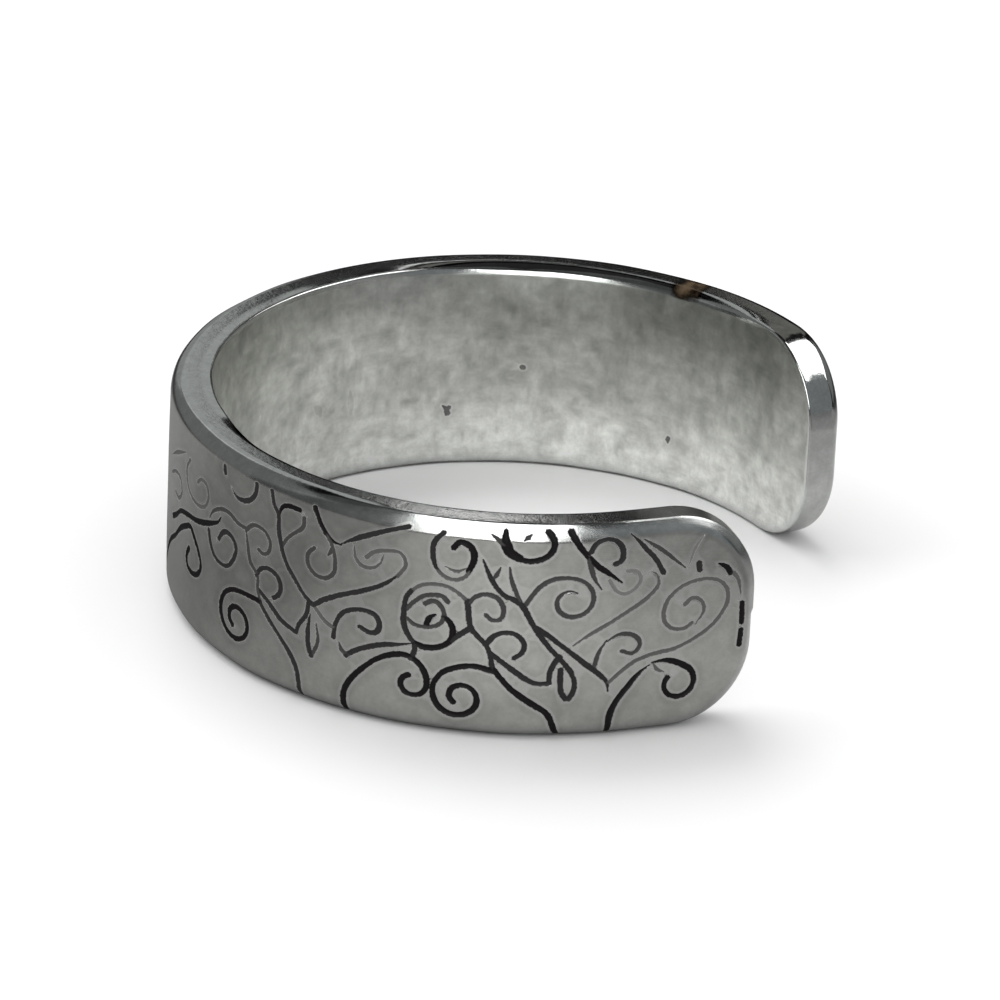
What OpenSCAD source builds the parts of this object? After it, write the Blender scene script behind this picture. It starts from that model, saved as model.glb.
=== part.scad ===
// Open cuff ring: one flat metal strip bent round a finger, with a gap between its two rounded tips.
// The finger hole runs along Z through the origin, which is half way up it, and the gap faces +X.

/* [Strip] */
// Width of the strip, measured along the finger
band_w = 6.35; // [4.5:0.05:10]
// Thickness of the strip
band_t = 1.25; // [1:0.05:2]
// Radius of the strip's two long edges on the outside
outer_round = 0.5; // [0.2:0.05:0.55]
// Radius of the strip's two long edges on the finger side
inner_round = 0.4; // [0.15:0.05:0.4]

/* [Bend] */
// Inside diameter of the round stretch
inner_d = 17.1; // [14:0.1:22]
// Angle from the gap's middle to where the round stretch ends on the front arm
front_turn = 58; // [50:1:80]
// Straight length of the front arm before its tip
front_flat = 1.25; // [0.5:0.05:3]
// Angle from the gap's middle to where the round stretch ends on the back arm
back_turn = 68; // [60:1:90]
// Radius of the tighter bend of the back arm, to the strip's middle
tuck_r = 8.2; // [7:0.1:11]
// Angle that the tighter bend turns through
tuck_angle = 23; // [10:1:32]
// Straight length of the back arm before its tip
back_flat = 0.15; // [0.05:0.05:1]

/* [Tips] */
// Radius of the corners at both tips, seen from the side
tip_round = 2.4; // [1:0.05:3]

/* [Hidden] */
$fn = 96;
// Each piece starts this far inside the one before it, and is smaller all round by the step, which
// is too small to see: so the pieces cross cleanly and join into one solid at any angle.
lap = 0.2;
step = 0.01;
$trim = 0;
// Least straight edge between a tip's two corners
least_edge = 0.2;
corner = min(tip_round, (band_w - least_edge) / 2);
mid_r = (inner_d + band_t) / 2;

// The strip's section for a given width: x points away from the finger, and y runs across the strip.
module section(width) {
    half_w = width / 2 - $trim;
    half_t = band_t / 2 - $trim;
    inner_r = inner_round - $trim;
    outer_r = outer_round - $trim;
    translate([inner_r - half_t, -half_w])
        square([band_t - 2 * $trim - inner_r - outer_r, 2 * half_w]);
    translate([-half_t, inner_r - half_w])
        square([inner_r, 2 * (half_w - inner_r)]);
    translate([half_t - outer_r, outer_r - half_w])
        square([outer_r, 2 * (half_w - outer_r)]);
    for (side = [-1, 1]) {
        translate([inner_r - half_t, side * (half_w - inner_r)])
            circle(inner_r);
        translate([half_t - outer_r, side * (half_w - outer_r)])
            circle(outer_r);
    }
}

// Half of a section as wide as both corners: y runs from 0 to the tip's edge.
module half_section() {
    intersection() {
        section(2 * corner);
        translate([-band_t, 0])
            square([2 * band_t, corner]);
    }
}

// A stretch bent round the Z axis.
module bend(radius, start, turn) {
    rotate_extrude(angle = turn, start = start)
        translate([radius, 0])
            section(band_w);
}

// The tip that ends an arm: it runs towards +Y, and its rim is rounded all the way round.
module tip() {
    centre_z = band_w / 2 - corner;
    translate([0, 0, -centre_z])
        linear_extrude(2 * centre_z)
            half_section();
    for (side = [0, 1])
        mirror([0, 0, side])
            translate([0, 0, centre_z])
                rotate([90, 0, 90])
                    rotate_extrude(angle = 90)
                        rotate(90)
                            mirror([0, 1, 0])
                                half_section();
}

// The end of an arm: a straight stretch towards +Y, and the tip after it.
module arm_end(flat) {
    translate([0, flat, 0])
        rotate([90, 0, 0])
            linear_extrude(lap + flat)
                section(band_w);
    translate([0, flat, 0])
        tip();
}

// The front arm leaves the round stretch straight.
module front_arm() {
    rotate(-front_turn)
        translate([mid_r, 0, 0])
            arm_end(front_flat, $trim = step);
}

// The back arm bends in more tightly than the round stretch before its straight end.
module back_arm() {
    lap_angle = lap / tuck_r * 180 / PI;
    rotate(back_turn)
        mirror([0, 1, 0])
            translate([mid_r - tuck_r, 0, 0]) {
                bend(tuck_r, -lap_angle, lap_angle + tuck_angle, $trim = step);
                rotate(tuck_angle)
                    translate([tuck_r, 0, 0])
                        arm_end(back_flat, $trim = 2 * step);
            }
}

module band() {
    color("silver") {
        bend(mid_r, back_turn, 360 - front_turn - back_turn);
        front_arm();
        back_arm();
    }
}

band();
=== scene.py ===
# Looks of the open cuff ring: one metal strip, bent round and left open, with scrollwork cut into it
import math
from collections import namedtuple

import bpy
import numpy as np
from mathutils import Matrix, Vector
from mathutils.geometry import delaunay_2d_cdt


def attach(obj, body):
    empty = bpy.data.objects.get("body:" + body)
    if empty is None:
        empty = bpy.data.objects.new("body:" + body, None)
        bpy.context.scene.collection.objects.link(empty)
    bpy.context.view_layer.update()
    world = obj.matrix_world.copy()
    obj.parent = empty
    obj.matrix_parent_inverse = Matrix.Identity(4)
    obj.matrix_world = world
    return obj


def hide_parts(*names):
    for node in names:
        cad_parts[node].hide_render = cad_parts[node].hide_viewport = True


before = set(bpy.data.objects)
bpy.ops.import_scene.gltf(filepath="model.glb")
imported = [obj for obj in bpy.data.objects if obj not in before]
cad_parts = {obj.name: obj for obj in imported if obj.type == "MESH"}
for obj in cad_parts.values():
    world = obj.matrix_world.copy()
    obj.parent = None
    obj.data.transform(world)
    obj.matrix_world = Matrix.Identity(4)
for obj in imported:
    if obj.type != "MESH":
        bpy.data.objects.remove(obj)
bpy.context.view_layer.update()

MM = 0.001
SEED = 7
# Lengths below this count as none
TINY = 1e-9

# The strip's sizes in millimetres and degrees, as in the part's source
BAND_W = 6.35
BAND_T = 1.25
OUTER_ROUND = 0.5
INNER_ROUND = 0.4
INNER_D = 17.1
FRONT_TURN = 58
FRONT_FLAT = 1.25
BACK_TURN = 68
BACK_FLAT = 0.15
TUCK_R = 8.2
TUCK_ANGLE = 23
TIP_ROUND = 2.4

# Places on the strip are given by s, the distance along its middle line from the ring's left point,
# growing towards the front tip, and by z, the height above the middle of its width
LEFT_ANGLE = 192.5
MID_R = (INNER_D + BAND_T) / 2
ROUND_FRONT = MID_R * math.radians(360 - FRONT_TURN - LEFT_ANGLE)
ROUND_BACK = MID_R * math.radians(BACK_TURN - LEFT_ANGLE)
TUCK_LENGTH = TUCK_R * math.radians(TUCK_ANGLE)
FRONT_END = ROUND_FRONT + FRONT_FLAT + TIP_ROUND
BACK_END = ROUND_BACK - TUCK_LENGTH - BACK_FLAT - TIP_ROUND
# The tips' corners turn about the corners of this inner rectangle
CORE_FRONT = FRONT_END - TIP_ROUND
CORE_BACK = BACK_END + TIP_ROUND
CORE_Z = BAND_W / 2 - TIP_ROUND

# Spacing of the mesh, in millimetres
RIM_STEP = 0.2
STROKE_STEP = 0.07
OUTER_GRID = 0.28
INNER_GRID = 0.34
GRID_CLEARANCE = 0.09
SAME_POINT = 0.004
# Its steps across an edge, down a tip's end, and round a tip's corner and a curl in degrees
ROUNDING_STEPS = 14
END_STEPS = 8
CORNER_STEP = 5
CURL_STEP = 30
# Loose points stand in staggered rows, a share of the spacing apart and a little scattered
ROW_SHARE = 0.866
SCATTER = 0.03
# Samples of a smooth curve for each of its points, and the power of the chords that space them
CURVE_SAMPLES = 40
CHORD_POWER = 0.5
# Grooves are measured for this many points at a time, from the lines this near along the strip
FIELD_POINTS = 400
FIELD_BEHIND = 0.6
FIELD_AHEAD = 0.5

# An edge's section turns from wall to rim in steps: where on the way each is, its degrees and its length.
# With no steps it is a quarter circle
Turn = namedtuple("Turn", "at degrees length")
ROUND_EDGE = ()
SQUARE_EDGE = (Turn(0.5, 90, 0.3),)
BEVELLED_EDGE = (Turn(0.07, 18, 0.14), Turn(0.42, 14, 0.56), Turn(0.74, 58, 0.06))
SOFT_EDGE = (Turn(0.28, 34, 0.56), Turn(0.74, 56, 0.10))
EDGE_SAMPLES = 400
# The front of the ring has a bevel along its upper outer edge, which fades in between these places
BEVEL_START = 8.5
BEVEL_FULL = 11.8
# Towards the front tip the bevel grows soft between these places
SOFT_FROM = (15.6, 17.4)
# The upper inner edge is round at the back and the front. Between these places the rest is crisp
ROUND_FROM = (-24.2, -19.6)
CRISP_FROM = (-13.8, -9.2)
CRISP_TO = (3.0, 6.0)

# The walls are a little crowned: how far they have sunk in where their edges start
OUTER_CROWN = 0.02
INNER_CROWN = 0.15
# How far the walls' gentle unevenness sinks in, and the lengths of its waves
OUTER_UNEVEN = 0.04
OUTER_WAVES = (2.6, 3.4, 4.3, 5.9, 7.7)
INNER_UNEVEN = 0.03
INNER_WAVES = (1.9, 2.7, 3.8, 5.2)
UNEVEN_FADE = 0.35

# The metal's colours: its walls, the inner one painted paler downwards as a painted reflection, and its rim
OUTER_METAL = (0.62, 0.62, 0.59, 1)
INNER_METAL = (0.54, 0.545, 0.515, 1)
INNER_METAL_LOW_PAINTED_REFLECTION = (0.95, 0.955, 0.925, 1)
RIM_METAL = (0.61, 0.62, 0.605, 1)
# What lies on it: fine grain, blackened lines, beside them a darkening and a bright burr with painted
# highlight, a stain
GRAIN_COLOUR = (0.2, 0.2, 0.19, 1)
LINE_COLOUR = (0.008, 0.006, 0.007, 1)
DARK_BESIDE_LINES_COLOUR = (0.10, 0.09, 0.085, 1)
BURR_AND_PAINTED_HIGHLIGHT_METAL = (0.82, 0.82, 0.8, 1)
STAIN_COLOUR = (0.085, 0.06, 0.038, 1)
# How strongly the burr with its painted highlight shows, where the stain lies along the strip, and how much
# rougher the lines are
BURR_AND_PAINTED_HIGHLIGHT_SHARE = 0.42
STAIN_PLACE = -19.6
LINE_ROUGHNESS = 0.35
# The shader's own settings, with the relief's height in millimetres
SPECULAR = 0.15
BUMP_STRENGTH = 0.3
BUMP_HEIGHT = 0.004
# Noises over it: waves per millimetre, detail, roughness, stretch along the strip's axes, and turn
Noise = namedtuple("Noise", "scale detail rough stretch turn", defaults=(3.0, 0.5, (1, 1, 1), 0.0))
NOISES = {
    "mottle": Noise(0.9, 4.0, 0.6),
    "grain": Noise(9.0, 3.0, 0.6),
    "upright": Noise(2.6, 4.0, 0.6, (1, 0.35, 1)),
    "cross": Noise(2.6, 4.0, 0.6, (0.35, 1, 1)),
    "weave": Noise(1.3),
    "blotch": Noise(2.0, 2.0, 0.5),
    "cloud": Noise(0.5),
    "wear": Noise(2.2, 5.0, 0.65),
    "line_edge": Noise(14.0, 2.0, 0.6),
    "stain": Noise(2.6),
    "scratch": Noise(3.0, 4.0, 0.6, (0.7, 9.0, 1), 0.15),
    "dents": Noise(1.6, 2.0, 0.5),
}
# Ranges: a value that goes from the first number to the second turns into one from 0 to 1, or from the
# third number to the fourth. First those by place on the strip, and by the way across an edge
INSIDE = (-0.1, -0.3)
TO_RIM = (0.1, 0.4)
# Painted reflection: the inner wall grows paler between these heights
PAINTED_REFLECTION_DOWNWARDS = (-0.6, -3.0)
STAIN_ALONG = (0.1, 0.6, 1.0, 0.0)
STAIN_ABOVE = (2.8, 3.1)
DENTS_ALONG = (-23.3, -24.1)
DENTS_ABOVE = (0.6, 1.4)
RIM_ROUGHNESS = (17.6, 19.0, 0.10, 0.30)
# By how far inside a cut line a place lies, in millimetres
LINE_EDGE = (-0.014, 0.020)
# Darker beside the lines
DARK_BESIDE_LINES = (-0.3, -0.08, 0.0, 0.14)
# The burr beside the lines, partly a painted highlight
BURR_AND_PAINTED_HIGHLIGHT = (-0.1, -0.025)
# By one of the noises
OUTER_MOTTLE = (0.3, 0.7, 0.84, 1.13)
MOTTLE_ROUGHNESS = (0.3, 0.7, -0.04, 0.05)
WEAVE = (0.44, 0.56)
BRUSHED = (0.3, 0.7, -0.19, 0.19)
BLOTCH = (0.3, 0.7, 0.87, 1.13)
CLOUD = (0.3, 0.7, -0.12, 0.12)
WORN = (0.35, 0.65, 0.91, 1.07)
GRAIN = (0.3, 0.7, 0.0, 0.16)
LINE_WOBBLE = (0.3, 0.7, -0.012, 0.012)
STAIN_NOISE = (0.36, 0.6, 0.35, 0.95)
# By the share of the stain, whose colour comes before its dullness
STAIN_TINT = (0.02, 0.22)
STAIN_DULL = (0.2, 0.9)
# From the outer wall to the inner one: roughness, where the polish of the edge starts and ends on the way
# across it, and how much scratches show
WALL_ROUGHNESS = (0, 1, 0.22, 0.34)
POLISH_START = (0, 1, 0.3, 0.1)
POLISH_END = (0, 1, 0.8, 0.4)
SCRATCH_SHARE = (0, 1, 1.0, 0.2)
# Dents on the walls, and on the rim from its plain part to the back tip's upper corner
WALL_DENTS = 4.0
RIM_DENTS = (0, 1, 1.2, 7.0)

# The floor, and how bright the metal mirrors it by place, in millimetres: sideways from a middle line,
# towards the back, far behind, towards the back within the ring, and where the ring's inside ends
FLOOR_GREY = 0.86
FLOOR_ROUGHNESS = 0.8
FLOOR_SPECULAR = 0.2
# Painted reflection: the floor's tone that the metal mirrors, painted by place
MIRRORED_MIDDLE = 4.5
MIRRORED_ASIDE = (3, 15, 0.54, 0.2)
MIRRORED_BACK = (-6, 2, 1.0, 1.35)
MIRRORED_FAR = (14, 24, 1.0, 0.08)
MIRRORED_WITHIN = (-4, 8.5, 0.28, 1.26)
WITHIN_RING = (9.9, 8.4, 0.0, 1.0)

# The camera stands where the photo was taken from: distance in millimetres, angles in degrees, and the
# pixel that the ring's centre falls on in a square image
IMAGE = 1000
CENTRE_PIXEL = (515.1, 484.9)
VIEW_DISTANCE = 187.63
VIEW_AZIMUTH = -77.5
VIEW_ELEVATION = 24.23
VIEW_ROLL = 2.686
SENSOR = 36
LENS = 239.5
CLIP_START = 10

# The studio
FLOOR_SIZE = 1500
ROOM_COLOUR = (1, 1, 1, 1)
ROOM_STRENGTH = 0.85
# The white room lights the floor evenly, and the metal doesn't mirror it. Flat cards of light stand round
# the ring. A card's turn is counted from the camera, its sizes are in millimetres, and its colour and
# brightness are what a mirror would show
Card = namedtuple("Card", "turn elevation distance width height brightness colour")
CARDS = {
    "softbox": Card(205, 56, 500, 300, 300, 3.3, (1, 1, 1)),
    "left_softbox": Card(262, 50, 500, 300, 300, 2.2, (1, 1, 1)),
    "window": Card(-7, 34, 500, 364, 450, 3.6, (0.98, 1, 1)),
    "back_left": Card(194.5, 31, 500, 180, 230, 0.44, (0.96, 1, 0.99)),
    "low_left": Card(197, 8, 510, 200, 180, 0.3, (0.97, 1, 1)),
    "back": Card(180, 31, 520, 90, 230, 0.018, (1, 0.98, 0.98)),
    "back_right": Card(167.6, 31, 500, 160, 230, 0.165, (1, 0.98, 0.93)),
    "streak": Card(180.6, 26, 490, 12, 22, 1.5, (1, 1, 1)),
    "ceiling": Card(180, 80, 600, 400, 500, 0.025, (1, 0.98, 1)),
    "high_left": Card(290, 66, 560, 420, 300, 0.07, (0.95, 0.98, 1)),
    "high_right": Card(60, 68, 560, 420, 260, 0.07, (0.95, 0.98, 1)),
    "left": Card(240, 25, 500, 640, 560, 0.18, (0.97, 1, 1)),
    "front_left": Card(305, 25, 500, 500, 520, 0.1, (0.93, 0.97, 1)),
    "front_right": Card(54, 25, 500, 560, 520, 0.24, (0.9, 0.96, 1)),
    "right": Card(111, 52, 500, 430, 320, 3.0, (1, 1, 1)),
    "far_right": Card(120, 16, 510, 560, 270, 0.2, (0.97, 1, 1)),
}
# These cards light the floor, and the metal mirrors the others
FLOOR_LIGHTS = ("softbox", "left_softbox")

# The scrollwork. A pen's width and depth are in millimetres, and its ink says how black the line is
Pen = namedtuple("Pen", "width depth ink")
PENS = {
    "brush": Pen(0.28, 0.050, 1.00),
    "bold": Pen(0.185, 0.045, 1.00),
    "firm": Pen(0.165, 0.038, 0.97),
    "line": Pen(0.145, 0.032, 0.92),
    "fine": Pen(0.132, 0.022, 0.84),
    "faint": Pen(0.125, 0.014, 0.68),
    "pit": Pen(0.16, 0.040, 0.72),
    "smear": Pen(0.28, 0.004, 0.16),
}
# A stroke's route holds points (x, z) and curls. Its taper says which ends thin out
Stroke = namedtuple("Stroke", "name pen route taper", defaults=("none",))
# A curl runs about its centre from one radius and angle to another, as a logarithmic spiral
Curl = namedtuple("Curl", "x z radius end_radius angle end_angle")

# Each half of a tree is measured from the foot of its trunk
LEFT_HALF = (
    Stroke("trunk", "bold",
           ((-2.34, -1.05), (-1.9, -1.6), (-1.55, -1.9), (-1.2, -2.15), (-.9, -2.4), (-.65, -3.1))),
    Stroke("low curl", "bold", ((-2.35, -1.12), (-2.8, -1.03), Curl(-3.15, -1.98, .88, .24, 95, 590))),
    Stroke("outer stem", "firm",
           ((-3.05, .9), (-3, .45), (-2.93, .1), (-2.5, -.42), (-2.4, -.76), (-2.34, -1.08))),
    Stroke("upper hook", "line",
           ((-3, .85), (-2.84, 1.05), (-2.56, 1.14), (-2.3, 1.05), (-2.13, .75), (-2.2, .43),
            (-2.4, .39), (-2.57, .53))),
    Stroke("middle hook", "firm",
           ((-2.5, -.28), (-2.34, -.08), (-2.12, .03), (-1.88, .03), (-1.66, -.11), (-1.57, -.33),
            (-1.63, -.56), (-1.81, -.7))),
    Stroke("fork, lower arm", "firm",
           ((-2.41, -.6), (-1.95, -.97), (-1.38, -1.4), (-1.15, -1.47), (-.9, -1.45))),
    Stroke("fork, upper arm", "firm", ((-.9, -1.45), (-.88, -1.1), (-.77, -.83), (-.65, -.67))),
    Stroke("long stem", "firm",
           ((-2.7, 2.15), (-2.45, 1.56), (-2.13, 1.14), (-1.88, 1.03), (-1.66, .85), (-1.38, .31),
            (-1.0, -.29), (-.59, -.79), (-.33, -1.15)), "start"),
    Stroke("leaf", "firm",
           ((-.38, -1.08), (-.25, -1.4), (-.26, -1.7), (-.41, -1.95), (-.56, -1.76), (-.61, -1.4),
            (-.61, -1.05))),
    Stroke("tick", "line", ((-2.25, 1.95), (-2.34, 1.74), (-2.46, 1.56)), "both"),
    Stroke("second stem", "line", ((-2.02, 1.98), (-1.97, 1.64), (-1.86, 1.3), (-1.72, .98)), "start"),
    Stroke("swirl", "line",
           ((-1.57, .9), (-1.4, 1.2), (-1.2, 1.46), (-.9, 1.64),
            Curl(-.42, .98, .7, .28, 98, -300)), "end"),
    Stroke("dark stem", "firm",
           ((-1.27, .2), (-1, 0), (-.7, -.26), (-.06, -.83), (.59, -1.47), (.64, -1.75)), "end"),
    Stroke("bowl, left side", "brush", ((-2.16, 3.12), (-2.14, 2.7), (-2.04, 2.42), (-1.8, 2.25)), "start"),
    Stroke("bowl", "bold",
           ((-2.05, 2.4), (-1.77, 2.22), (-1.5, 2.17), (-1.16, 2.26), (-.97, 2.45), (-.91, 2.7),
            (-1.0, 2.95), (-1.12, 3.1))),
    Stroke("bowl, spur", "line", ((-2.52, 2.92), (-2.36, 2.8), (-2.2, 2.6)), "start"),
    Stroke("bowl, seed", "line", ((-1.68, 2.78), (-1.5, 2.96)), "both"),
)
RIGHT_HALF = (
    Stroke("top stroke", "bold",
           ((-.52, 3.12), (-.34, 2.71), (-.06, 2.31), (.23, 1.99), (.59, 1.7), (.87, 1.46)), "end"),
    Stroke("cross stroke", "line", ((-.02, 2.28), (.05, 1.92), (.16, 1.6), (.34, 1.3)), "end"),
    Stroke("top hook", "firm",
           ((.01, 2.4), (.16, 2.67), (.37, 2.78), (.62, 2.74), (.8, 2.56), (.87, 2.31), (.82, 2.1),
            (.66, 2.03))),
    Stroke("faint hook", "faint",
           ((.54, 1.56), (.72, 1.24), (.95, 1.12), (1.25, 1.26), (1.39, 1.53), (1.25, 1.76),
            (1.01, 1.79))),
    Stroke("upper bar", "firm", ((1.05, 2.9), (1.48, 2.41), (1.78, 2.06), (2.03, 1.63)), "start"),
    Stroke("thin bar", "line", ((1.42, 2.68), (1.9, 2.35), (2.25, 2.06), (2.66, 1.7)), "both"),
    Stroke("faint branch", "fine",
           ((-.34, -.35), (.13, 0), (.6, .29), (1.07, .59), (1.6, .94), (1.9, 1.3), (1.84, 1.6),
            (1.68, 1.7)), "both"),
    Stroke("crook, stem", "line", ((.25, -.98), (.34, -.6), (.54, -.22)), "end"),
    Stroke("crook", "line",
           ((.5, -.3), (.84, -.09), (1.13, -.09), (1.39, -.26), (1.45, -.48), (1.25, -.68),
            (.95, -.58)), "start"),
    Stroke("great curl", "fine",
           ((.62, -1.53), (.95, -1.21), (1.31, -.94), (1.9, -.76), (2.5, -.66), (3.36, -.2),
            (3.72, .18), (3.92, .6), (3.88, .97), (3.6, 1.25), (3.13, 1.32), (2.6, 1.18), (2.25, .88),
            (2.1, .53), (2.13, .18), (2.36, -.06), (2.72, -.09), (2.92, .05))),
    Stroke("great curl, heart", "fine",
           ((3.02, -.02), (3.25, .42), (3.13, .71), (2.89, .79), (2.69, .62)), "start"),
    Stroke("trunk", "bold",
           ((.69, -3.1), (.72, -2.5), (.9, -2.05), (1.2, -1.63), (1.48, -1.3), (1.76, -1.1)), "end"),
    Stroke("low curl", "bold",
           ((1.83, -1.03), (2.25, -1.0), Curl(2.57, -1.72, .56, .33, 75, -215)), "start"),
    Stroke("low curl, spur", "fine", ((1.85, -1.03), (2.0, -1.26), (2.19, -1.35)), "both"),
)
SECOND_LEFT_HALF = (
    Stroke("trunk", "firm",
           ((-2.15, -.65), (-1.8, -1.05), (-1.35, -1.5), (-1.0, -1.88), (-.78, -2.3), (-.67, -3.1))),
    Stroke("low curl", "bold", ((-2.1, -.68), (-2.5, -.67), Curl(-3.03, -1.6, .86, .27, 98, 594))),
    Stroke("outer stem", "line",
           ((-2.72, 1.3), (-2.62, .8), (-2.5, .35), (-2.22, .05), (-2.2, -.35), (-2.12, -.62)), "start"),
    Stroke("upper hook", "line",
           ((-2.7, 1.25), (-2.4, 1.5), (-2.0, 1.46), (-1.8, 1.22), (-1.83, .92), (-2.03, .77),
            (-2.2, .84))),
    Stroke("middle hook", "firm", (Curl(-1.8, -.03, .46, .4, 170, -65),)),
    Stroke("fork, lower arm", "firm", ((-2.15, -.35), (-1.75, -.62), (-1.35, -.95), (-.83, -1.15))),
    Stroke("fork, upper arm", "firm", ((-.83, -1.15), (-.75, -.88), (-.52, -.5), (-.45, -.12))),
    Stroke("stem", "firm",
           ((-1.85, 2.95), (-1.7, 2.35), (-1.55, 2.15), (-1.52, 1.75), (-1.45, 1.4), (-1.25, .85),
            (-.9, .4), (-.6, .05), (-.28, -.16))),
    Stroke("loop, upper side", "bold", ((-1.53, 2.05), (-1.43, 2.38), (-1.2, 2.5), (-.83, 2.5)), "start"),
    Stroke("loop, lower side", "line",
           ((-.68, 2.32), (-.7, 2.05), (-.95, 1.8), (-1.2, 1.55), (-1.36, 1.3))),
    Stroke("leaf, left side", "firm", ((-.4, -.45), (-.45, -.95), (-.43, -1.4), (-.33, -1.68)), "start"),
    Stroke("leaf, right side", "line", ((-.33, -1.68), (-.2, -1.42), (-.13, -1.15), (-.2, -.68)), "end"),
    Stroke("cup", "firm",
           ((-3.39, 2.25), (-3.2, 2.07), (-2.92, 2.04), (-2.63, 2.15), (-2.42, 2.38), (-2.36, 2.68),
            (-2.42, 2.94)), "start"),
    Stroke("cup, spur", "firm", ((-3.73, 2.72), (-3.69, 2.54))),
)
SECOND_RIGHT_HALF = (
    Stroke("long branch", "firm",
           ((-.3, -.15), (0, .1), (.55, .42), (1.15, .7), (1.67, 1.0), (2.1, 1.38)), "end"),
    Stroke("branch crook", "fine",
           ((2.06, 1.33), (2.27, 1.72), (2.12, 2.02), (1.75, 2.02), (1.4, 1.9), (1.2, 1.7))),
    Stroke("branch loop", "fine",
           ((.85, 1.95), (.9, 1.6), (1.1, 1.42), (1.35, 1.42), (1.58, 1.6), (1.66, 1.88)), "both"),
    Stroke("crown, left arm", "bold",
           ((-.42, 2.95), (-.25, 2.5), (0, 2.1), (.25, 1.9), (.47, 1.87)), "end"),
    Stroke("crown, right arm", "firm",
           ((.45, 1.89), (.9, 2.18), (1.45, 2.47), (1.9, 2.68), (2.3, 2.86)), "start"),
    Stroke("ring curl", "line", ((0, 2.1), (.2, 1.8), (.3, 1.45), Curl(-.1, 1.17, .42, .44, 10, -240))),
    Stroke("ring curl, spur", "line", ((.23, 1.7), (.1, 1.45)), "end"),
    Stroke("thin stem", "fine", ((-.25, -.2), (.05, -.5), (.34, -.64))),
    Stroke("crook", "firm",
           ((.33, -.92), (.38, -.5), (.58, -.12), (.85, .05), (1.2, .12), (1.5, .05), (1.62, -.18),
            (1.57, -.42), (1.37, -.5), (1.08, -.4))),
    Stroke("low branch, tip", "line", ((.5, -1.02), (.6, -1.25), (.76, -1.33)), "start"),
    Stroke("low branch", "firm",
           ((.7, -1.36), (.95, -1.15), (1.3, -.95), (1.75, -.77), (2.15, -.68), (2.52, -.58)), "end"),
    Stroke("trunk and curl", "bold",
           ((.72, -3.1), (.67, -2.5), (.85, -2.05), (1.2, -1.6), (1.55, -1.26), (1.9, -1.05),
            (2.3, -.95), (2.62, -1.07), (2.87, -1.38), Curl(2.54, -1.77, .4, .26, 5, -250))),
    Stroke("rose, outside", "firm",
           ((2.6, -.6), (2.38, -.3), (2.27, .02), (2.27, .38), (2.31, .75), (2.44, .98))),
    Stroke("rose, top", "fine",
           ((2.4, .92), (2.66, 1.17), (3.0, 1.27), (3.32, 1.26), (3.58, 1.15), (3.87, .92))),
    Stroke("rose, second petal", "line",
           ((2.33, .42), (2.53, .67), (2.77, .88), (3.03, .95), (3.27, .94), (3.4, .8))),
    Stroke("rose, third petal", "line",
           ((2.36, .14), (2.58, -.01), (2.82, -.03), (3.05, .02), (3.24, .15), (3.32, .36), (3.27, .57),
            (3.13, .75), (2.98, .77), (2.82, .66))),
    Stroke("rose, heart", "bold", ((3.1, .38), (2.94, .27), (2.87, .04)), "start"),
    Stroke("rose, bowl", "bold",
           ((3.32, .34), (3.5, .17), (3.56, -.06), (3.52, -.3), (3.37, -.48), (3.13, -.6),
            (2.85, -.63), (2.58, -.56))),
    Stroke("rose, link", "firm", ((4.02, .12), (3.84, -.04), (3.63, -.22), (3.5, -.36))),
    Stroke("rose, stem", "firm", ((2.6, -.58), (2.58, -.8), (2.5, -1.02))),
    Stroke("snail, back", "firm",
           ((3.22, 2.84), (3.0, 2.53), (2.96, 2.18), (3.05, 1.79), (3.2, 1.6)), "end"),
    Stroke("snail, belly", "fine", ((3.12, 1.68), (3.28, 1.54), (3.55, 1.47), (3.82, 1.6), (3.93, 1.8))),
    Stroke("snail, head", "bold",
           ((3.9, 1.78), (4.02, 2.1), (4.0, 2.35), (3.87, 2.53), (3.64, 2.59), (3.49, 2.4))),
    Stroke("snail, mouth", "fine", ((3.3, 1.83), (3.58, 1.73), (3.85, 1.85)), "both"),
)
THIRD_RIGHT_HALF = (
    Stroke("trunk and curl", "bold",
           ((-1.6, -3.1), (-1.45, -2.4), (-1.05, -1.75), (-.5, -1.18), (.03, -.82), (.56, -.35),
            (1.03, -.06), (1.38, .08), (1.7, -.16), (1.97, -.47), (2.09, -.82), (1.91, -1.12),
            (1.56, -1.25), (1.2, -1.15), (1.15, -.86), (1.32, -.6)), "start"),
    Stroke("long branch", "bold",
           ((-.3, -.38), (.15, -.12), (.56, .18), (1.15, .35), (1.85, .47), (2.5, .7), (2.97, .94),
            (3.12, 1.15)), "end"),
    Stroke("arch", "line",
           ((2.5, .85), (2.68, 1.12), (3.09, 1.38), (3.5, 1.44), (3.91, 1.3), (4.25, 1.28)), "start"),
    Stroke("ring curl", "firm",
           ((2.5, .5), (2.59, .18), (2.79, -.12), (3.15, -.24), (3.5, -.15), (3.76, .18), (3.85, .53),
            (3.68, .76), (3.38, .82), (3.15, .65), (3.03, .45))),
    Stroke("faint curl", "fine",
           ((1.26, 2.05), (1.03, 1.7), (1.15, 1.24), (1.5, 1.0), (1.97, .97), (2.32, 1.15),
            (2.44, 1.47), (2.32, 1.76), (2.03, 1.8), (1.79, 1.62))),
    Stroke("faint hook", "fine", ((-.5, .88), (.03, 1.12), (.5, 1.12), (.64, .78), (.35, .47), (0, .5))),
    Stroke("faint line", "fine", ((-.5, 1.41), (-.03, 1.68), (.91, 2.12)), "both"),
)
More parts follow.
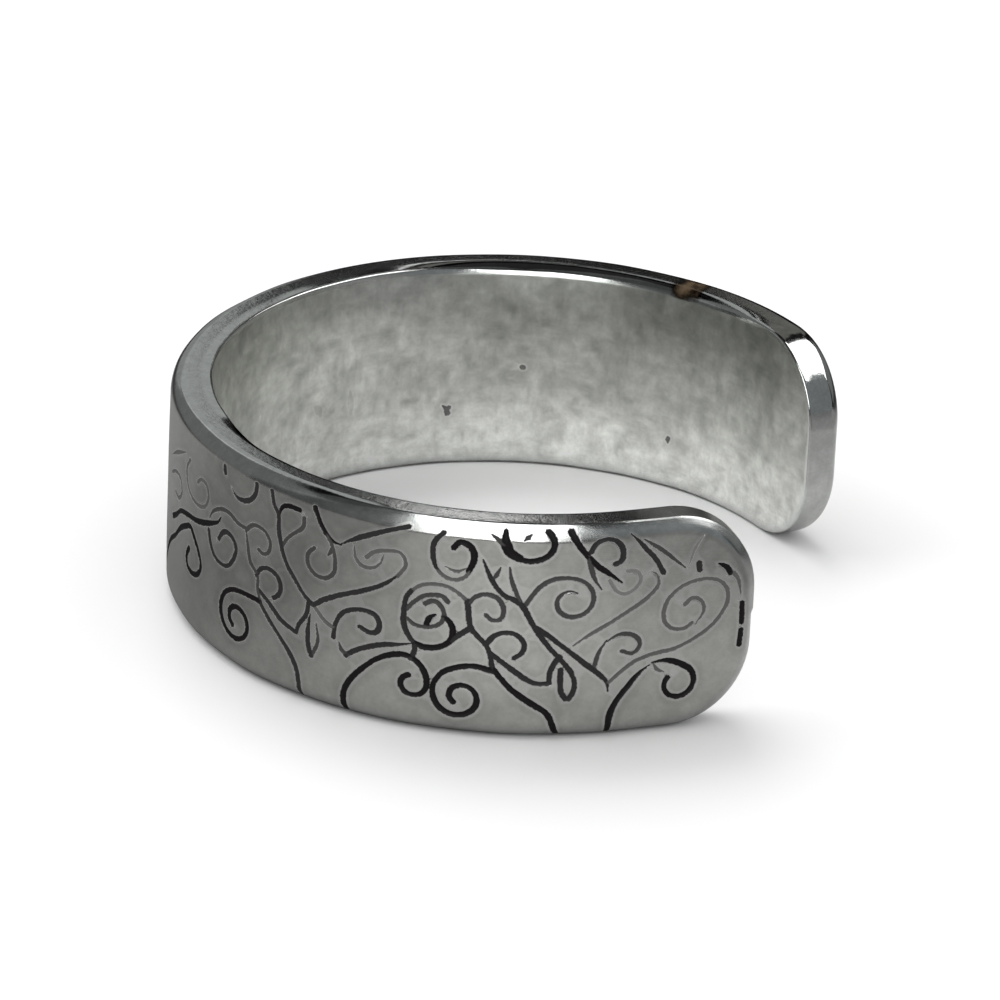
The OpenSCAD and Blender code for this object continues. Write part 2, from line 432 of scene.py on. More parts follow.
# Marks by the front tip, outside the repeat, measured from the ring's left point
TIP_MARKS = (
    Stroke("spot", "firm", ((19.43, 1.82), (19.46, 1.6))),
    Stroke("upper dash", "bold", ((20.0, 1.73), (20.13, 1.68), (20.26, 1.58), (20.36, 1.42)), "start"),
    Stroke("thin line", "fine", ((20.45, 1.42), (20.6, 1.2), (20.7, .75)), "end"),
    Stroke("first dash", "bold", ((20.76, .48), (20.78, -.1))),
    Stroke("second dash", "bold", ((20.77, -.33), (20.74, -.76))),
    Stroke("faint arc", "faint", ((19.15, 1.8), (19.29, 2.24), (19.55, 2.65)), "both"),
)
# Pits and smears on the inner wall, measured from the ring's left point
PITS = (
    Stroke("largest pit", "pit", ((-11.98, -1.28), (-12.1, -1.38), (-12.18, -1.55)), "start"),
    Stroke("largest pit, side", "pit", ((-12.2, -1.36), (-12.12, -1.44), (-12.1, -1.6)), "end"),
    Stroke("round pit", "pit", ((-14.42, -.05), (-14.5, -.06)), "start"),
    Stroke("pit by the back tip", "pit", ((-19.38, -1.58), (-19.34, -1.66), (-19.36, -1.74)), "end"),
    Stroke("long smear", "smear", ((-8.78, -.42), (-8.8, -.6), (-8.84, -1.15)), "both"),
    Stroke("faint smear", "smear", ((-7.4, -.6), (-7.55, -.74), (-7.66, -.95)), "both"),
)
# One repeat: each half tree, and where the foot of its trunk stands
REPEAT = (
    (LEFT_HALF, 0.25),
    (THIRD_RIGHT_HALF, 2.5),
    (SECOND_LEFT_HALF, 9.45),
    (SECOND_RIGHT_HALF, 9.45),
    (LEFT_HALF, 16.4),
    (RIGHT_HALF, 16.4),
)
REPEAT_LENGTH = 23.05
REPEATS = (0, -1, -2)
# Strokes stop this far out from the corners' rectangle: on the lower edge, at the upper edge, and on its
# bevel. They also stop before the back tip
REACH_LOW = 2.5
REACH_HIGH = 1.98
REACH_BEVEL = 2.3
STROKE_BACK_END = -22.6


def unit(v):
    """Rows of v scaled to length 1."""
    return v / np.maximum(np.linalg.norm(v, axis=1, keepdims=True), TINY)


def smooth_line(points, step):
    """A smooth curve through points, as points that lie one step apart."""
    p = np.array(points, float)
    if len(p) > 2:
        p = np.vstack([2 * p[0] - p[1], p, 2 * p[-1] - p[-2]])
        chords = np.linalg.norm(np.diff(p, axis=0), axis=1)
        knots = np.concatenate([[0], np.cumsum(chords ** CHORD_POWER)])
        t = np.linspace(knots[1], knots[-2], CURVE_SAMPLES * (len(p) - 3))
        i = np.clip(np.searchsorted(knots, t) - 1, 1, len(p) - 3)
        k = [knots[i + j][:, None] for j in (-1, 0, 1, 2)]
        q = [p[i + j] for j in (-1, 0, 1, 2)]
        t = t[:, None]

        def blend(a, b, ka, kb):
            return (kb - t) / (kb - ka) * a + (t - ka) / (kb - ka) * b

        a = [blend(q[j], q[j + 1], k[j], k[j + 1]) for j in range(3)]
        b = [blend(a[j], a[j + 1], k[j], k[j + 2]) for j in range(2)]
        p = blend(b[0], b[1], k[1], k[2])
    along = np.concatenate([[0], np.cumsum(np.linalg.norm(np.diff(p, axis=0), axis=1))])
    count = max(int(round(along[-1] / step)), 2)
    at = np.linspace(0, along[-1], count + 1)
    return np.stack([np.interp(at, along, p[:, 0]), np.interp(at, along, p[:, 1])], 1)


def route_points(route):
    """The points of a stroke's route, with each curl's own points a fixed turn apart."""
    points = []
    for item in route:
        if isinstance(item, Curl):
            count = max(int(abs(item.end_angle - item.angle) / CURL_STEP), 3)
            for t in np.linspace(0, 1, count + 1):
                angle = math.radians(item.angle + t * (item.end_angle - item.angle))
                r = item.radius * (item.end_radius / item.radius) ** t
                points.append((item.x + r * math.cos(angle), item.z + r * math.sin(angle)))
        else:
            points.append(item)
    return points


def reach(p):
    """How far points lie out from the rectangle that the corners turn about, and its nearest points."""
    q = np.stack([np.clip(p[:, 0], CORE_BACK, CORE_FRONT), np.clip(p[:, 1], -CORE_Z, CORE_Z)], 1)
    return np.linalg.norm(p - q, axis=1), q


# A line cut into the metal: its points, half widths, depth and ink
Line = namedtuple("Line", "points half depth ink")
# A tapered end thins out over this length, down to this share of the width
TAPER_LENGTH = 0.55
TAPER_LEAST = 0.35
# A hand's wobble in the width, made of a slow wave and a smaller, quicker one, in radians per millimetre
HAND_WOBBLE = 0.12
SLOW_WAVE = 2.3
QUICK_WAVE = 5.1
QUICK_SHARE = 0.6


def cut_lines(strokes, foot, rng):
    """The strokes as lines on the strip, with what lies past its edge left out."""
    lines = []
    for stroke in strokes:
        pen = PENS[stroke.pen]
        p = smooth_line(route_points(stroke.route), STROKE_STEP) + (foot, 0)
        length = STROKE_STEP * np.arange(len(p))
        thin = min(TAPER_LENGTH, length[-1] / 2)
        width = np.ones(len(p))
        if stroke.taper in ("start", "both"):
            width = np.minimum(width, TAPER_LEAST + (1 - TAPER_LEAST) * length / thin)
        if stroke.taper in ("end", "both"):
            width = np.minimum(width, TAPER_LEAST + (1 - TAPER_LEAST) * length[::-1] / thin)
        phase = rng.uniform(0, 2 * math.pi, 2)
        slow = np.sin(length * SLOW_WAVE + phase[0])
        wobble = slow + QUICK_SHARE * np.sin(length * QUICK_WAVE + phase[1])
        half = pen.width / 2 * width * (1 + HAND_WOBBLE * wobble / (1 + QUICK_SHARE))
        high = REACH_HIGH + (REACH_BEVEL - REACH_HIGH) * bevelled(p)
        limit = np.where(p[:, 1] > 0, high, REACH_LOW)
        inside = (reach(p)[0] < limit) & (p[:, 0] > STROKE_BACK_END)
        breaks = np.flatnonzero(np.diff(inside.astype(int))) + 1
        for run in np.split(np.arange(len(p)), breaks):
            if inside[run[0]] and len(run) > 2:
                lines.append(Line(p[run], half[run], pen.depth, pen.ink))
    return lines


def scrollwork():
    """Every line of the ornament on the whole strip."""
    rng = np.random.default_rng(SEED)
    lines = []
    for turn in REPEATS:
        for strokes, foot in REPEAT:
            lines += cut_lines(strokes, foot + turn * REPEAT_LENGTH, rng)
    return lines + cut_lines(TIP_MARKS, 0, rng)


# Groove sections are cut at these shares of the half width, and once just outside
ACROSS = (1.0, 0.62, 0.0, -0.62, -1.0)
OUTSIDE = 0.05
CAP_ANGLES = (60, 0, -60)


def line_mesh(line):
    """Points and edges that follow one cut line: along its middle, sides and just outside it."""
    p, half = line.points, line.half
    along = unit(np.gradient(p, axis=0))
    side = np.stack([-along[:, 1], along[:, 0]], 1)
    rows, edges = [], []
    n = len(p)
    for share in ACROSS:
        start = sum(len(r) for r in rows)
        rows.append(p + side * (share * half)[:, None])
        edges += [(start + i, start + i + 1) for i in range(n - 1)]
    left, right = 0, (len(ACROSS) - 1) * n
    for end, direction in ((0, -1), (n - 1, 1)):
        start = sum(len(r) for r in rows)
        turn = [math.radians(a) for a in CAP_ANGLES]
        rows.append(np.array([p[end] + half[end] * (direction * math.cos(a) * along[end]
                                                    + math.sin(a) * side[end]) for a in turn]))
        ring = [left + end, *range(start, start + len(turn)), right + end]
        edges += list(zip(ring, ring[1:]))
    for share in (1, -1):
        rows.append((p + share * side * (half + OUTSIDE)[:, None])[::2])
    return np.vstack(rows), edges


def groove_field(p, lines):
    """At each point p: groove depth, its slope, how far inside a line it is, and the line's ink."""
    a = np.vstack([line.points[:-1] for line in lines])
    b = np.vstack([line.points[1:] for line in lines])
    half_a = np.concatenate([line.half[:-1] for line in lines])
    half_b = np.concatenate([line.half[1:] for line in lines])
    counts = [len(line.points) - 1 for line in lines]
    full = np.repeat([line.depth for line in lines], counts)
    ink = np.repeat([line.ink for line in lines], counts)
    depth, slope = np.zeros(len(p)), np.zeros((len(p), 2))
    inside, shade = np.full(len(p), -1.0), np.zeros(len(p))
    order = np.argsort(p[:, 0])
    segment_s = np.minimum(a[:, 0], b[:, 0])
    for part in np.array_split(order, max(len(p) // FIELD_POINTS, 1)):
        q = p[part]
        near = ((segment_s > q[:, 0].min() - FIELD_BEHIND)
                & (segment_s < q[:, 0].max() + FIELD_AHEAD))
        if not near.any():
            continue
        a_, ab = a[near], (b - a)[near]
        t = ((q[:, None] - a_) * ab).sum(2) / np.maximum((ab * ab).sum(1), TINY)
        t = t.clip(0, 1)
        away = q[:, None] - (a_ + t[..., None] * ab)
        distance = np.linalg.norm(away, axis=2)
        half = half_a[near] + t * (half_b - half_a)[near]
        # A groove's section is (1 - share ** 2) ** 1.5, and steep is how fast it changes
        share = (distance / half).clip(0, 1)
        bowl = 1 - share ** 2
        cut = full[near] * bowl ** 1.5
        steep = -3 * share * bowl ** 0.5 * full[near] / half
        deepest = cut.argmax(1)
        rows = np.arange(len(q))
        depth[part] = cut[rows, deepest]
        towards = away / np.maximum(distance, TINY)[..., None]
        slope[part] = steep[rows, deepest, None] * towards[rows, deepest]
        within = half - distance
        closest = within.argmax(1)
        inside[part] = within[rows, closest].clip(-1, 1)
        shade[part] = ink[near][closest]
    return depth, slope, inside, shade


def middle_line(s):
    """Points of the strip's middle line, its outward normals and its direction, seen from above."""
    past_round = np.clip(ROUND_BACK - s, 0, TUCK_LENGTH)
    angle = math.radians(LEFT_ANGLE) + np.clip(s, ROUND_BACK, ROUND_FRONT) / MID_R - past_round / TUCK_R
    normal = np.stack([np.cos(angle), np.sin(angle)], 1)
    along = np.stack([-np.sin(angle), np.cos(angle)], 1)
    back = math.radians(BACK_TURN)
    tucked = (s < ROUND_BACK)[:, None]
    centre = np.where(tucked, (MID_R - TUCK_R) * np.array([math.cos(back), math.sin(back)]), 0)
    radius = np.where(tucked, TUCK_R, MID_R)
    straight = np.maximum(s - ROUND_FRONT, 0) - np.maximum(ROUND_BACK - TUCK_LENGTH - s, 0)
    return centre + radius * normal + straight[:, None] * along, normal, along


def on_strip(q, out, distance, offset):
    """Points of the bent strip, from places on the flat one and offsets from its middle surface.

    Their outward, lengthwise and upward directions, and their places along the strip, come with them.
    """
    s, z = (q + out * distance[:, None]).T
    point, normal, along = middle_line(s)
    flat = point + normal * offset[:, None]
    up = np.tile((0.0, 0.0, 1.0), (len(s), 1))
    pad = np.zeros((len(s), 1))
    strip = np.stack([s, z, offset], 1)
    return np.hstack([flat, z[:, None]]), np.hstack([normal, pad]), np.hstack([along, pad]), up, strip


def smooth_step(x, low, high):
    """How far x has come from low to high, from 0 to 1, with a soft start and end."""
    x = ((x - low) / (high - low)).clip(0, 1)
    return x * x * (3 - 2 * x)


def edge_section(steps):
    """Samples of an edge's section: its run out along the wall and its sinking, each from 0 to 1."""
    way = np.linspace(0, 1, EDGE_SAMPLES)
    turn = np.zeros(EDGE_SAMPLES) if steps else way * math.pi / 2
    for at, degrees, length in steps:
        turn = turn + math.radians(degrees) * smooth_step(way, at - length / 2, at + length / 2)
    run, sunk = np.cumsum(np.cos(turn)), np.cumsum(np.sin(turn))
    return (run - run[0]) / (run[-1] - run[0]), (sunk - sunk[0]) / (sunk[-1] - sunk[0])


def edge(way, sections):
    """How far out and how deep an edge's points lie, and its turn there, for their share of the way."""
    samples = np.linspace(0, 1, EDGE_SAMPLES)
    run, sunk, run_rate, sunk_rate = 0, 0, 0, 0
    for steps, share in sections:
        x, y = edge_section(steps)
        run = run + share * np.interp(way, samples, x)
        sunk = sunk + share * np.interp(way, samples, y)
        run_rate = run_rate + share * np.interp(way, samples, np.gradient(x))
        sunk_rate = sunk_rate + share * np.interp(way, samples, np.gradient(y))
    return run, sunk, np.arctan2(sunk_rate, run_rate)


def bevelled(p):
    """How far the upper outer edge is bevelled at each place, from 0 to 1."""
    return smooth_step(p[:, 0], BEVEL_START, BEVEL_FULL) * (p[:, 1] > 0)


def wall_sizes(face):
    """The width of a wall's edge, where it starts, and where it ends when it is laid flat."""
    rounding = OUTER_ROUND if face > 0 else INNER_ROUND
    flat = TIP_ROUND - rounding
    return rounding, flat, flat + rounding * math.pi / 2


def wall(p, face, height, slope):
    """The outer (face 1) or inner (face -1) wall with its edge, from the plane it unrolls to."""
    rounding, flat, limit = wall_sizes(face)
    distance, q = reach(p)
    out = np.where(distance[:, None] > TINY, (p - q) / np.maximum(distance, TINY)[:, None], (1.0, 0.0))
    way = ((distance - flat) / (limit - flat)).clip(0, 1)
    bevel = bevelled(p)
    rounded = smooth_step(p[:, 0], *ROUND_FROM) * (1 - smooth_step(p[:, 0], *CRISP_FROM))
    crisp = 1 - (rounded + smooth_step(p[:, 0], *CRISP_TO)) * (p[:, 1] > 0)
    soft = smooth_step(p[:, 0], *SOFT_FROM)
    outer = ((ROUND_EDGE, 1 - bevel), (BEVELLED_EDGE, bevel * (1 - soft)), (SOFT_EDGE, bevel * soft))
    inner = ((ROUND_EDGE, 1 - crisp), (SQUARE_EDGE, crisp))
    run, sunk, turn = edge(way, outer if face > 0 else inner)
    spot, normal, along, up, strip = on_strip(
        q, out, np.minimum(distance, flat) + rounding * run, face * (BAND_T / 2 - rounding * sunk))
    outward = along * out[:, :1] + up * out[:, 1:]
    across = up * out[:, :1] - along * out[:, 1:]
    cos, sin = np.cos(turn)[:, None], np.sin(turn)[:, None]
    facing = face * normal * cos + outward * sin
    downhill = outward * cos - face * normal * sin
    slope_out = (slope * out).sum(1)[:, None]
    slope_across = (slope[:, 1] * out[:, 0] - slope[:, 0] * out[:, 1])[:, None]
    return (spot + facing * height[:, None],
            unit(facing - slope_out * downhill - slope_across * across), strip, way)


def outline(distance):
    """The loop at a distance from the corners' rectangle."""
    count = int(round((CORE_FRONT - CORE_BACK) / RIM_STEP))
    s = np.linspace(CORE_BACK, CORE_FRONT, count + 1)[:-1]
    corner = np.radians(np.arange(0, 90, CORNER_STEP))
    z = np.linspace(CORE_Z, -CORE_Z, END_STEPS + 1)[:-1]
    q = [np.stack([s, np.full(len(s), CORE_Z)], 1),
         np.tile((CORE_FRONT, CORE_Z), (len(corner), 1)),
         np.stack([np.full(len(z), CORE_FRONT), z], 1),
         np.tile((CORE_FRONT, -CORE_Z), (len(corner), 1))]
    out = [np.tile((0.0, 1.0), (len(s), 1)), np.stack([np.sin(corner), np.cos(corner)], 1),
           np.tile((1.0, 0.0), (len(z), 1)), np.stack([np.cos(corner), -np.sin(corner)], 1)]
    half_q, half_out = np.vstack(q), np.vstack(out)
    middle = (CORE_FRONT + CORE_BACK) / 2
    q = np.vstack([half_q, (2 * middle, 0) - half_q])
    out = np.vstack([half_out, -half_out])
    return q + out * distance


def grid(spacing, limit, rng):
    """Loose points inside the loop at that distance, in staggered rows."""
    rows = []
    for k, z in enumerate(np.arange(-BAND_W, BAND_W, spacing * ROW_SHARE)):
        s = np.arange(BACK_END - 1, FRONT_END + 1, spacing) + (k % 2) * spacing / 2
        rows.append(np.stack([s, np.full(len(s), z)], 1))
    p = np.vstack(rows)
    p += rng.uniform(-SCATTER, SCATTER, p.shape) * spacing
    return p[reach(p)[0] < limit]


def triangulate(points, edges, loop):
    """Triangles over the points that keep the edges. The first `loop` points are the border."""
    border = [(i, (i + 1) % loop) for i in range(loop)]
    found, _, faces, origin, _, _ = delaunay_2d_cdt(
        [Vector(p) for p in points], border + edges, [], 1, SAME_POINT, True)
    found = np.array([tuple(p) for p in found])
    faces = np.array([f for f in faces if len(f) == 3])
    at = {}
    for index, sources in enumerate(origin):
        for source in sources:
            if source < loop:
                at[source] = index
    return found, faces, [at[i] for i in range(loop)]


# One wall of the strip: its points, their normals and places on the strip, how far they lie inside a cut
# line, that line's ink, their way across the edge (0 on the wall, 1 at the rim), the triangles, and which
# points follow the wall's border
Skin = namedtuple("Skin", "points normals strip within ink way faces border")


def crowned(p, face, size):
    """The crown of a wall, which sinks towards its edges, and its slope."""
    _, flat, limit = wall_sizes(face)
    distance, q = reach(p)
    out = (p - q) / np.maximum(distance, TINY)[:, None]
    share = (distance / flat).clip(0, 1)
    left = ((limit - distance) / (limit - flat)).clip(0, 1)
    return -size * share ** 2 * left ** 2, -(2 * size * share / flat * left)[:, None] * out


def uneven(p, size, waves, limit, rng):
    """A gentle unevenness that only sinks in, and its slope. It fades out at the border."""
    height, slope = np.zeros(len(p)), np.zeros((len(p), 2))
    for length in waves:
        angle, phase = rng.uniform(0, math.pi), rng.uniform(0, 2 * math.pi)
        wave = 2 * math.pi / length * np.array((math.cos(angle), math.sin(angle)))
        height += np.sin(p @ wave + phase)
        slope += np.cos(p @ wave + phase)[:, None] * wave
    fade = ((limit - reach(p)[0]) / UNEVEN_FADE).clip(0, 1)
    share = size / (2 * len(waves))
    return -share * (len(waves) + height) * fade, -share * slope * fade[:, None]


def skin(face, lines, spacing, crown, size, waves):
    """The outer (face 1) or inner (face -1) wall as triangles that follow its cut lines."""
    rng = np.random.default_rng(SEED + face)
    _, flat, limit = wall_sizes(face)
    parts, edges = [outline(limit)], []
    count = len(parts[0])
    for line in lines:
        p, line_edges = line_mesh(line)
        parts.append(p)
        edges += [(a + count, b + count) for a, b in line_edges]
        count += len(p)
    rings = [outline(flat + (limit - flat) * k / ROUNDING_STEPS) for k in range(ROUNDING_STEPS)]
    loose = np.vstack([grid(spacing, flat - spacing / 2, rng), *rings])
    parts.append(loose[groove_field(loose, lines)[2] < -GRID_CLEARANCE])
    found, faces, border = triangulate(np.vstack(parts), edges, len(parts[0]))
    depth, slope, within, ink = groove_field(found, lines)
    waved, waved_slope = uneven(found, size, waves, limit, rng)
    arched, arched_slope = crowned(found, face, crown)
    height = waved + arched - depth
    points, normals, strip, way = wall(found, face, height, waved_slope + arched_slope - slope)
    return Skin(points, normals, strip, within, ink, way, faces[:, ::face], border)


def band_mesh():
    """The whole strip: both walls, and the flat rim between them."""
    outer = skin(1, scrollwork(), OUTER_GRID, OUTER_CROWN, OUTER_UNEVEN, OUTER_WAVES)
    pits = cut_lines(PITS, 0, np.random.default_rng(SEED))
    inner = skin(-1, pits, INNER_GRID, INNER_CROWN, INNER_UNEVEN, INNER_WAVES)
    shift = len(outer.points)
    a, b = outer.border, [i + shift for i in inner.border]
    rim = [(a[i - 1], a[i], b[i], b[i - 1]) for i in range(len(a))]
    faces = outer.faces.tolist() + (inner.faces + shift).tolist() + rim
    points = np.vstack([outer.points, inner.points])
    mesh = bpy.data.meshes.new("engraved_band")
    mesh.from_pydata((points * MM).tolist(), [], faces)
    mesh.shade_smooth()
    mesh.normals_split_custom_set_from_vertices(np.vstack([outer.normals, inner.normals]).tolist())
    strip = mesh.attributes.new("strip", "FLOAT_VECTOR", "POINT")
    strip.data.foreach_set("vector", np.vstack([outer.strip, inner.strip]).ravel())
    for name in ("within", "ink", "way"):
        values = np.concatenate([getattr(outer, name), getattr(inner, name)])
        mesh.attributes.new(name, "FLOAT", "POINT").data.foreach_set("value", values)
    return mesh


def tree_of(material):
    """A material's node tree, emptied but for its output."""
    material.use_nodes = True
    tree = material.node_tree
    tree.nodes.clear()
    return tree, tree.nodes.new("ShaderNodeOutputMaterial")


def node(tree, kind, links=(), **settings):
    """A new node. Settings are its properties, and links fill its inputs with values or outputs."""
    made = tree.nodes.new("ShaderNode" + kind)
    for name, value in settings.items():
        setattr(made, name, value)
    for name, value in dict(links).items():
        if isinstance(value, bpy.types.NodeSocket):
            tree.links.new(value, made.inputs[name])
        else:
            made.inputs[name].default_value = value
    return made


def ramp(tree, value, low, high, to_low=0.0, to_high=1.0, kind="LINEAR"):
    """A value taken from the range low to high into another range, and kept within it."""
    made = node(tree, "MapRange", {"Value": value, "From Min": low, "From Max": high,
                                   "To Min": to_low, "To Max": to_high}, interpolation_type=kind)
    return made.outputs["Result"]


def ramp_mm(tree, value, low, high, to_low, to_high):
    """The same for a place in the scene, with its own range given in millimetres."""
    return ramp(tree, value, low * MM, high * MM, to_low, to_high)


def math_node(tree, operation, a, b=0.0):
    return node(tree, "Math", {0: a, 1: b}, operation=operation).outputs[0]


def product(tree, *values):
    """The product of two or more values."""
    result = values[0]
    for value in values[1:]:
        result = math_node(tree, "MULTIPLY", result, value)
    return result


def mix_value(tree, share, a, b):
    return node(tree, "Mix", {0: share, 2: a, 3: b}, data_type="FLOAT").outputs[0]


def mix_colour(tree, share, a, b, blend="MIX"):
    made = node(tree, "Mix", {0: share, 6: a, 7: b}, data_type="RGBA", blend_type=blend)
    return made.outputs[2]


def noise(tree, place, kind):
    """One of the noises over the strip."""
    mapped = node(tree, "Mapping", {"Vector": place, "Scale": kind.stretch, "Rotation": (0, 0, kind.turn)})
    made = node(tree, "TexNoise", {"Vector": mapped.outputs[0], "Scale": kind.scale,
                                   "Detail": kind.detail, "Roughness": kind.rough})
    return made.outputs[0]


def grey_node(tree, value):
    return node(tree, "CombineColor", {0: value, 1: value, 2: value}).outputs[0]


def bare_metal(tree, noises, inside, rim, height):
    """The metal's colour before anything lies on it: mottled walls and a worn rim."""
    brushed = mix_value(tree, ramp(tree, noises["weave"], *WEAVE), noises["upright"], noises["cross"])
    patched = ramp(tree, brushed, *BRUSHED)
    for name, span in (("blotch", BLOTCH), ("cloud", CLOUD)):
        patched = math_node(tree, "ADD", patched, ramp(tree, noises[name], *span))
    mottled = grey_node(tree, ramp(tree, noises["mottle"], *OUTER_MOTTLE))
    clouds = mix_colour(tree, inside, mottled, grey_node(tree, patched))
    clouds = mix_colour(tree, rim, clouds, grey_node(tree, ramp(tree, noises["wear"], *WORN)))
    # Painted reflection: the inner wall's colour grows paler downwards, for the brighter floor it mirrors
    # there
    inner = mix_colour(tree, ramp(tree, height, *PAINTED_REFLECTION_DOWNWARDS), INNER_METAL, INNER_METAL_LOW_PAINTED_REFLECTION)
    plain = mix_colour(tree, inside, OUTER_METAL, inner)
    plain = mix_colour(tree, rim, plain, RIM_METAL)
    return mix_colour(tree, 1.0, plain, clouds, "MULTIPLY")


def roughness(tree, noises, inside, way, along, dark):
    """How rough the metal is: satin walls, polished edges, and dull lines."""
    satin = math_node(tree, "ADD", ramp(tree, noises["mottle"], *MOTTLE_ROUGHNESS),
                      ramp(tree, inside, *WALL_ROUGHNESS))
    polish = ramp(tree, way, ramp(tree, inside, *POLISH_START), ramp(tree, inside, *POLISH_END))
    rough = mix_value(tree, polish, satin, ramp(tree, along, *RIM_ROUGHNESS))
    return math_node(tree, "ADD", rough, product(tree, dark, LINE_ROUGHNESS))


def relief(tree, noises, inside, rim, along, height):
    """The height of the metal's scratches, grain and dents."""
    scratches = product(tree, noises["scratch"], ramp(tree, inside, *SCRATCH_SHARE))
    corner = product(tree, ramp(tree, along, *DENTS_ALONG), ramp(tree, height, *DENTS_ABOVE))
    dents = mix_value(tree, rim, WALL_DENTS, ramp(tree, corner, *RIM_DENTS))
    fine = math_node(tree, "ADD", scratches, noises["grain"])
    return math_node(tree, "ADD", fine, product(tree, noises["dents"], dents))


def metal():
    """Satin metal with fine scratches, mottling, blackened lines and a stain."""
    material = bpy.data.materials.new("satin_metal")
    tree, output = tree_of(material)
    place = node(tree, "Attribute", attribute_name="strip").outputs["Vector"]
    within, ink, way = (node(tree, "Attribute", attribute_name=name).outputs["Fac"]
                        for name in ("within", "ink", "way"))
    along, height, outwards = node(tree, "SeparateXYZ", {"Vector": place}).outputs
    inside = ramp(tree, outwards, *INSIDE)
    rim = ramp(tree, way, *TO_RIM)
    noises = {name: noise(tree, place, kind) for name, kind in NOISES.items()}

    colour = bare_metal(tree, noises, inside, rim, height)
    colour = mix_colour(tree, ramp(tree, noises["grain"], *GRAIN), colour, GRAIN_COLOUR)
    # Darker beside the lines, as strong as their ink
    dark_beside_lines = product(tree, ramp(tree, within, *DARK_BESIDE_LINES), ink)
    colour = mix_colour(tree, dark_beside_lines, colour, DARK_BESIDE_LINES_COLOUR)
    # A bright burr beside the lines, partly real burnish and partly a painted highlight
    burr_and_painted_highlight = product(tree, ramp(tree, within, *BURR_AND_PAINTED_HIGHLIGHT, kind="SMOOTHSTEP"), ink, BURR_AND_PAINTED_HIGHLIGHT_SHARE)
    colour = mix_colour(tree, burr_and_painted_highlight, colour, BURR_AND_PAINTED_HIGHLIGHT_METAL)
    line = math_node(tree, "ADD", within, ramp(tree, noises["line_edge"], *LINE_WOBBLE))
    dark = product(tree, ramp(tree, line, *LINE_EDGE, kind="SMOOTHSTEP"), ink)
    colour = mix_colour(tree, dark, colour, LINE_COLOUR)
    away = math_node(tree, "ABSOLUTE", math_node(tree, "SUBTRACT", along, STAIN_PLACE))
    stain = product(tree, ramp(tree, away, *STAIN_ALONG), ramp(tree, height, *STAIN_ABOVE),
                    ramp(tree, noises["stain"], *STAIN_NOISE))
    colour = mix_colour(tree, ramp(tree, stain, *STAIN_TINT), colour, STAIN_COLOUR)
    bare = math_node(tree, "SUBTRACT", math_node(tree, "SUBTRACT", 1.0, dark),
                     ramp(tree, stain, *STAIN_DULL))

    bump = node(tree, "Bump", {"Strength": BUMP_STRENGTH, "Distance": BUMP_HEIGHT * MM,
                               "Height": relief(tree, noises, inside, rim, along, height)})
    shader = node(tree, "BsdfPrincipled", {
        "Base Color": colour, "Metallic": bare, "Specular IOR Level": SPECULAR,
        "Roughness": roughness(tree, noises, inside, way, along, dark), "Normal": bump.outputs[0]})
    tree.links.new(shader.outputs[0], output.inputs["Surface"])
    return material


def floor_material():
    """A plain pale floor. The metal mirrors a painted tone of it: darker, but bright at the ring's back."""
    material = bpy.data.materials.new("pale_floor")
    tree, output = tree_of(material)
    place = node(tree, "NewGeometry").outputs["Position"]
    x, y, _ = node(tree, "SeparateXYZ", {"Vector": place}).outputs
    aside = math_node(tree, "ABSOLUTE", math_node(tree, "SUBTRACT", x, MIRRORED_MIDDLE * MM))
    outside = product(tree, ramp_mm(tree, aside, *MIRRORED_ASIDE), ramp_mm(tree, y, *MIRRORED_BACK),
                      ramp_mm(tree, y, *MIRRORED_FAR))
    length = node(tree, "VectorMath", {0: place}, operation="LENGTH").outputs["Value"]
    mirrored = mix_value(tree, ramp_mm(tree, length, *WITHIN_RING), outside,
                         ramp_mm(tree, y, *MIRRORED_WITHIN))
    # Painted reflection: mirror rays see the floor in the tone painted by place
    by_ray = mix_value(tree, node(tree, "LightPath").outputs["Is Glossy Ray"], 1.0, mirrored)
    shader = node(tree, "BsdfPrincipled", {
        "Base Color": grey_node(tree, product(tree, by_ray, FLOOR_GREY)),
        "Roughness": FLOOR_ROUGHNESS, "Specular IOR Level": FLOOR_SPECULAR})
    tree.links.new(shader.outputs[0], output.inputs["Surface"])
    return material


def add(name, data):
    thing = bpy.data.objects.new(name, data)
    bpy.context.scene.collection.objects.link(thing)
    return thing


def looking(place, target, roll=0.0):
    """A matrix that stands at a place and looks at a target."""
    turn = (target - place).to_track_quat("-Z", "Y").to_matrix().to_4x4()
    return Matrix.Translation(place) @ turn @ Matrix.Rotation(math.radians(roll), 4, "Z")


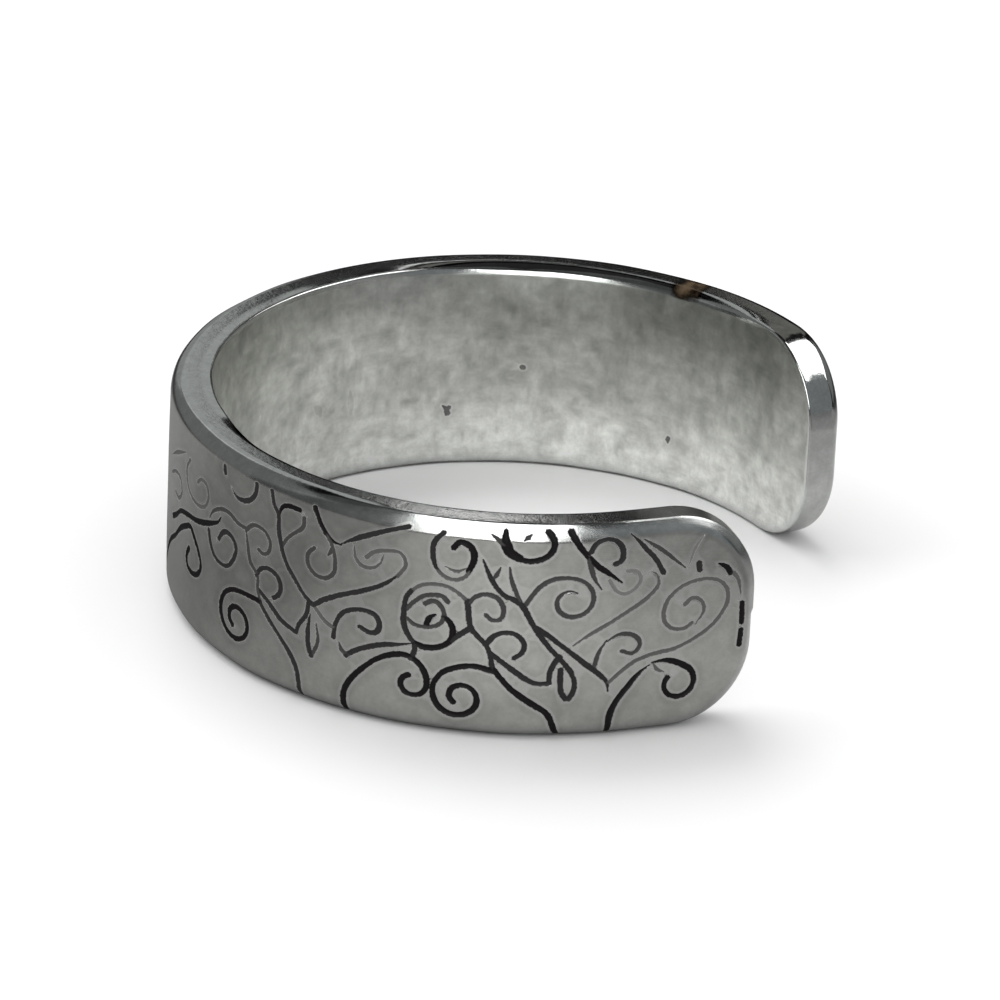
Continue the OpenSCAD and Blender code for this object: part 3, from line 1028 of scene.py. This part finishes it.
def direction(azimuth, elevation):
    a, e = math.radians(azimuth), math.radians(elevation)
    return Vector((math.cos(e) * math.cos(a), math.cos(e) * math.sin(a), math.sin(e)))


def camera():
    data = bpy.data.cameras.new("camera")
    data.sensor_width = SENSOR
    data.lens = LENS
    data.clip_start = CLIP_START * MM
    data.shift_x = (CENTRE_PIXEL[0] - IMAGE / 2) / -IMAGE
    data.shift_y = (CENTRE_PIXEL[1] - IMAGE / 2) / IMAGE
    thing = add("camera", data)
    thing.matrix_world = looking(direction(VIEW_AZIMUTH, VIEW_ELEVATION) * VIEW_DISTANCE * MM,
                                 Vector((0, 0, 0)), VIEW_ROLL)
    bpy.context.scene.camera = thing


def light_card(name, card):
    """A flat light that faces the ring. Its brightness is what a mirror would show of it."""
    data = bpy.data.lights.new(name, "AREA")
    data.shape = "RECTANGLE"
    data.size, data.size_y = card.width * MM, card.height * MM
    data.energy = card.brightness * data.size * data.size_y * math.pi
    data.color = card.colour
    thing = add(name, data)
    thing.visible_camera = False
    thing.visible_diffuse = name in FLOOR_LIGHTS
    thing.visible_glossy = name not in FLOOR_LIGHTS
    place = direction(VIEW_AZIMUTH + card.turn, card.elevation) * card.distance * MM
    thing.matrix_world = looking(place, Vector((0, 0, 0)))


def surroundings():
    """A pale floor, the white room and the light cards."""
    size, low = FLOOR_SIZE * MM, -BAND_W / 2 * MM
    mesh = bpy.data.meshes.new("floor")
    corners = [(-size, -size, low), (size, -size, low), (size, size, low), (-size, size, low)]
    mesh.from_pydata(corners, [], [(0, 1, 2, 3)])
    mesh.materials.append(floor_material())
    add("floor", mesh)
    world = bpy.data.worlds.new("room")
    world.use_nodes = True
    world.node_tree.nodes["Background"].inputs["Color"].default_value = ROOM_COLOUR
    world.node_tree.nodes["Background"].inputs["Strength"].default_value = ROOM_STRENGTH
    world.cycles_visibility.glossy = False
    bpy.context.scene.world = world
    for name, card in CARDS.items():
        light_card(name, card)
    bpy.context.scene.view_settings.view_transform = "Standard"


band = add("engraved_band", band_mesh())
band.data.materials.append(metal())
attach(band, "root")
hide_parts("band")
camera()
surroundings()
